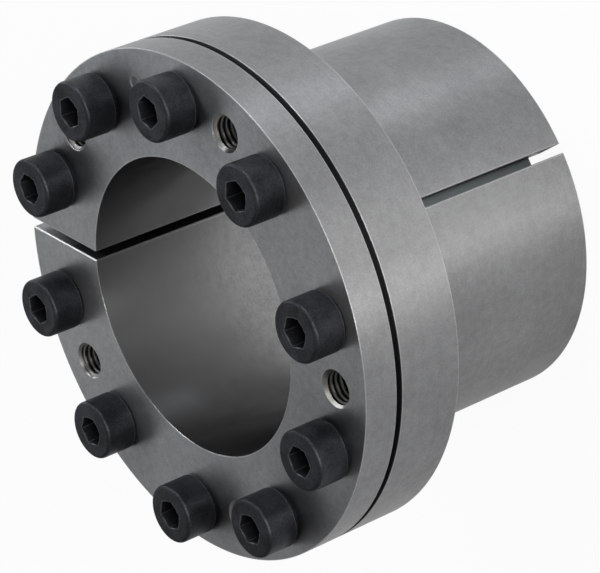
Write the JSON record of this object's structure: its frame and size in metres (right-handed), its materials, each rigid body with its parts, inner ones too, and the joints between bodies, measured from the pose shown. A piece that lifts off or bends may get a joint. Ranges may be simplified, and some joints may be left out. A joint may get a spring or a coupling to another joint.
{
  "type": "shaft locking assembly",
  "caption": "Keyless shaft locking assembly: tapered, slit rings grip a shaft and fill a hub bore as the circle of socket screws is tightened.",
  "frame": {"origin": "centre of the barrel's end face, on the bore axis", "axes": "+Z along the bore axis, from the barrel's end towards the screw heads; +X through the first screw"},
  "size_m": [0.111, 0.111, 0.0809],
  "materials": {
    "turned_steel": "satin turned steel, lightly oiled",
    "black_screw": "black oxide"
  },
  "bodies": {
    "outer_ring": {"outer_ring": "turned_steel"},
    "inner_ring": {"inner_ring": "turned_steel"},
    "screw_01": {"screw_01": "black_screw"},
    "screw_02": {"screw_02": "black_screw"},
    "screw_03": {"screw_03": "black_screw"},
    "screw_04": {"screw_04": "black_screw"},
    "screw_05": {"screw_05": "black_screw"},
    "screw_06": {"screw_06": "black_screw"},
    "screw_07": {"screw_07": "black_screw"},
    "screw_08": {"screw_08": "black_screw"},
    "screw_09": {"screw_09": "black_screw"},
    "screw_10": {"screw_10": "black_screw"}
  },
  "joints": [
    {"name": "ring_travel", "type": "slide", "parent": "outer_ring", "child": "inner_ring", "axis": [0, 0, 1], "range_m": [-0.00125, 0.00375]},
    {"name": "screw_01_turn", "type": "hinge", "parent": "inner_ring", "child": "screw_01", "pos_m": [0.0465, 0, 0.0729], "axis": [0, 0, 1], "range_deg": [-360, 1080]},
    {"name": "screw_02_turn", "type": "hinge", "parent": "inner_ring", "child": "screw_02", "pos_m": [0.03762, 0.02733, 0.0729], "axis": [0, 0, 1], "range_deg": [-360, 1080]},
    {"name": "screw_03_turn", "type": "hinge", "parent": "inner_ring", "child": "screw_03", "pos_m": [0.01437, 0.04422, 0.0729], "axis": [0, 0, 1], "range_deg": [-360, 1080]},
    {"name": "screw_04_turn", "type": "hinge", "parent": "inner_ring", "child": "screw_04", "pos_m": [-0.01437, 0.04422, 0.0729], "axis": [0, 0, 1], "range_deg": [-360, 1080]},
    {"name": "screw_05_turn", "type": "hinge", "parent": "inner_ring", "child": "screw_05", "pos_m": [-0.03762, 0.02733, 0.0729], "axis": [0, 0, 1], "range_deg": [-360, 1080]},
    {"name": "screw_06_turn", "type": "hinge", "parent": "inner_ring", "child": "screw_06", "pos_m": [-0.0465, 0, 0.0729], "axis": [0, 0, 1], "range_deg": [-360, 1080]},
    {"name": "screw_07_turn", "type": "hinge", "parent": "inner_ring", "child": "screw_07", "pos_m": [-0.03762, -0.02733, 0.0729], "axis": [0, 0, 1], "range_deg": [-360, 1080]},
    {"name": "screw_08_turn", "type": "hinge", "parent": "inner_ring", "child": "screw_08", "pos_m": [-0.01437, -0.04422, 0.0729], "axis": [0, 0, 1], "range_deg": [-360, 1080]},
    {"name": "screw_09_turn", "type": "hinge", "parent": "inner_ring", "child": "screw_09", "pos_m": [0.01437, -0.04422, 0.0729], "axis": [0, 0, 1], "range_deg": [-360, 1080]},
    {"name": "screw_10_turn", "type": "hinge", "parent": "inner_ring", "child": "screw_10", "pos_m": [0.03762, -0.02733, 0.0729], "axis": [0, 0, 1], "range_deg": [-360, 1080]}
  ],
  "couplings": [
    {"joint": "screw_01_turn", "follows": "ring_travel", "rad_per_m": 5026.5},
    {"joint": "screw_02_turn", "follows": "ring_travel", "rad_per_m": 5026.5},
    {"joint": "screw_03_turn", "follows": "ring_travel", "rad_per_m": 5026.5},
    {"joint": "screw_04_turn", "follows": "ring_travel", "rad_per_m": 5026.5},
    {"joint": "screw_05_turn", "follows": "ring_travel", "rad_per_m": 5026.5},
    {"joint": "screw_06_turn", "follows": "ring_travel", "rad_per_m": 5026.5},
    {"joint": "screw_07_turn", "follows": "ring_travel", "rad_per_m": 5026.5},
    {"joint": "screw_08_turn", "follows": "ring_travel", "rad_per_m": 5026.5},
    {"joint": "screw_09_turn", "follows": "ring_travel", "rad_per_m": 5026.5},
    {"joint": "screw_10_turn", "follows": "ring_travel", "rad_per_m": 5026.5}
  ]
}
